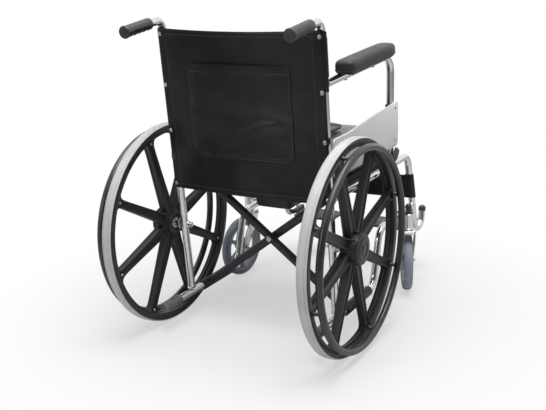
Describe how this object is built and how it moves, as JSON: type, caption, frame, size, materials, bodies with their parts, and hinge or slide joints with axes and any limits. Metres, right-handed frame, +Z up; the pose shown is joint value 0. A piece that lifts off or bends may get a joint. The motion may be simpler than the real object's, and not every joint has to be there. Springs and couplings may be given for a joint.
{
  "type": "folding commode wheelchair",
  "caption": "Folding steel wheelchair with spoked mag wheels, push rings, swivel casters, footplates and a padded seat over a lift-out pan.",
  "frame": {"origin": "on the floor under the middle of the chair's box", "axes": "+Z up, the chair faces -Y, the user's left is +X"},
  "size_m": [0.687, 1.023, 0.9066],
  "materials": {
    "chrome": "bright chromed steel",
    "black_steel": "black coated steel",
    "black_plastic": "moulded black plastic",
    "grey_tyre": "solid grey tyre",
    "handrim": "smooth black push ring",
    "grip_rubber": "dark grey grip rubber",
    "tip_rubber": "ribbed grey rubber",
    "arm_pad": "integral skin foam pad",
    "side_panel": "white plastic guard",
    "black_vinyl": "black leatherette",
    "seat_fabric": "black woven seat base",
    "pan_plastic": "dark moulded pan",
    "caster_rubber": "blue grey caster tyre",
    "caster_plastic": "grey caster wheel"
  },
  "bodies": {
    "frame_left": {"back_cane_left": "chrome", "side_rail_left": "chrome", "front_tube_cap_left": "grip_rubber", "lower_rail_left": "chrome", "push_grip_left": "grip_rubber", "tipping_sleeve_left": "tip_rubber", "arm_tube_left": "chrome", "arm_pad_left": "arm_pad", "side_panel_left": "side_panel", "axle_left": "chrome", "caster_housing_left": "chrome", "stem_cap_left": "grip_rubber", "footplate_hinge_left": "black_plastic", "lock_bracket_left": "chrome", "back_upholstery": "black_vinyl", "calf_strap": "black_vinyl"},
    "frame_right": {"back_cane_right": "chrome", "side_rail_right": "chrome", "front_tube_cap_right": "grip_rubber", "lower_rail_right": "chrome", "push_grip_right": "grip_rubber", "tipping_sleeve_right": "tip_rubber", "arm_tube_right": "chrome", "arm_pad_right": "arm_pad", "side_panel_right": "side_panel", "axle_right": "chrome", "caster_housing_right": "chrome", "stem_cap_right": "grip_rubber", "footplate_hinge_right": "black_plastic", "lock_bracket_right": "chrome"},
    "rear_wheel_left": {"rear_tyre_left": "grey_tyre", "mag_wheel_left": "black_plastic", "handrim_left": "handrim", "hub_cap_left": "black_plastic"},
    "caster_swivel_left": {"caster_fork_left": "chrome"},
    "caster_roller_left": {"caster_tyre_left": "caster_rubber", "caster_wheel_left": "caster_plastic"},
    "footrest_left": {"footplate_left": "black_plastic"},
    "lock_handle_left": {"lock_lever_left": "chrome", "lock_grip_left": "grip_rubber"},
    "lock_arm_left": {"lock_shoe_left": "chrome"},
    "rear_wheel_right": {"rear_tyre_right": "grey_tyre", "mag_wheel_right": "black_plastic", "handrim_right": "handrim", "hub_cap_right": "black_plastic"},
    "caster_swivel_right": {"caster_fork_right": "chrome"},
    "caster_roller_right": {"caster_tyre_right": "caster_rubber", "caster_wheel_right": "caster_plastic"},
    "footrest_right": {"footplate_right": "black_plastic"},
    "lock_handle_right": {"lock_lever_right": "chrome", "lock_grip_right": "grip_rubber"},
    "lock_arm_right": {"lock_shoe_right": "chrome"},
    "brace_front": {"brace_a": "black_steel"},
    "brace_rear": {"brace_b": "black_steel"},
    "brace_centre": {"pivot_bolt": "chrome"},
    "seat": {"seat_base": "seat_fabric", "seat_cushion": "black_vinyl"},
    "pan": {"commode_pan": "pan_plastic"},
    "lid": {"lid_cushion": "black_vinyl"}
  },
  "joints": [
    {"name": "fold", "type": "hinge", "parent": "frame_left", "child": "brace_front", "pos_m": [0.241, 0.05896, 0.08], "axis": [0, 1, 0], "range_deg": [0, 40], "deforming": ["back_upholstery", "calf_strap", "seat_base", "seat_cushion"]},
    {"name": "fold_centre", "type": "hinge", "parent": "brace_front", "child": "brace_centre", "pos_m": [0, 0.11446, 0.26202], "axis": [0, 1, 0], "range_deg": [-40, 0]},
    {"name": "fold_brace", "type": "hinge", "parent": "brace_front", "child": "brace_rear", "pos_m": [0, 0.11446, 0.26202], "axis": [0, 1, 0], "range_deg": [-80, 0]},
    {"name": "fold_frame", "type": "hinge", "parent": "brace_rear", "child": "frame_right", "pos_m": [-0.241, 0.05896, 0.08], "axis": [0, 1, 0], "range_deg": [0, 40]},
    {"name": "seat_rise", "type": "slide", "parent": "brace_centre", "child": "seat", "axis": [0, 0, 1], "range_m": [0, 0.0978]},
    {"name": "pan_lift", "type": "slide", "parent": "brace_centre", "child": "pan", "axis": [0, 0, 1], "range_m": [0, 0.419]},
    {"name": "lid_lift", "type": "slide", "parent": "pan", "child": "lid", "axis": [0, 0, 1], "range_m": [0, 0.12]},
    {"name": "wheel_spin_left", "type": "hinge", "parent": "frame_left", "child": "rear_wheel_left", "pos_m": [0.2965, 0.21246, 0.29908], "axis": [1, 0, 0], "continuous": true},
    {"name": "caster_turn_left", "type": "hinge", "parent": "frame_left", "child": "caster_swivel_left", "pos_m": [0.289, -0.23604, 0.216], "axis": [0, 0, 1], "continuous": true},
    {"name": "caster_spin_left", "type": "hinge", "parent": "caster_swivel_left", "child": "caster_roller_left", "pos_m": [0.29376, -0.18165, 0.09937], "axis": [0.9962, -0.0872, 0], "continuous": true},
    {"name": "footrest_flip_left", "type": "hinge", "parent": "frame_left", "child": "footrest_left", "pos_m": [0.2222, -0.46154, 0.163], "axis": [0, 1, 0], "range_deg": [0, 90]},
    {"name": "wheel_lock_left", "type": "hinge", "parent": "frame_left", "child": "lock_handle_left", "pos_m": [0.2629, -0.13954, 0.412], "axis": [1, 0, 0], "range_deg": [0, 45]},
    {"name": "lock_press_left", "type": "hinge", "parent": "frame_left", "child": "lock_arm_left", "pos_m": [0.2586, -0.11754, 0.38], "axis": [-1, 0, 0], "range_deg": [0, 10.36]},
    {"name": "wheel_spin_right", "type": "hinge", "parent": "frame_right", "child": "rear_wheel_right", "pos_m": [-0.2965, 0.21246, 0.29908], "axis": [1, 0, 0], "continuous": true},
    {"name": "caster_turn_right", "type": "hinge", "parent": "frame_right", "child": "caster_swivel_right", "pos_m": [-0.289, -0.23604, 0.216], "axis": [0, 0, 1], "continuous": true},
    {"name": "caster_spin_right", "type": "hinge", "parent": "caster_swivel_right", "child": "caster_roller_right", "pos_m": [-0.26549, -0.28532, 0.09937], "axis": [-0.9026, -0.4305, 0], "continuous": true},
    {"name": "footrest_flip_right", "type": "hinge", "parent": "frame_right", "child": "footrest_right", "pos_m": [-0.2222, -0.46154, 0.163], "axis": [0, -1, 0], "range_deg": [0, 90]},
    {"name": "wheel_lock_right", "type": "hinge", "parent": "frame_right", "child": "lock_handle_right", "pos_m": [-0.2629, -0.13954, 0.412], "axis": [1, 0, 0], "range_deg": [0, 45]},
    {"name": "lock_press_right", "type": "hinge", "parent": "frame_right", "child": "lock_arm_right", "pos_m": [-0.2586, -0.11754, 0.38], "axis": [-1, 0, 0], "range_deg": [0, 10.36]}
  ],
  "couplings": [
    {"joint": "fold_centre", "follows": "fold", "ratio": -1},
    {"joint": "fold_brace", "follows": "fold", "ratio": -2},
    {"joint": "fold_frame", "follows": "fold", "ratio": 1},
    {"joint": "seat_rise", "follows": "fold", "m_per_rad": 0.14},
    {"joint": "pan_lift", "follows": "fold", "m_per_rad": 0.6},
    {"joint": "footrest_flip_left", "follows": "fold", "ratio": 2.25},
    {"joint": "lock_press_left", "follows": "wheel_lock_left", "ratio": 0.23},
    {"joint": "footrest_flip_right", "follows": "fold", "ratio": 2.25},
    {"joint": "lock_press_right", "follows": "wheel_lock_right", "ratio": 0.23}
  ]
}
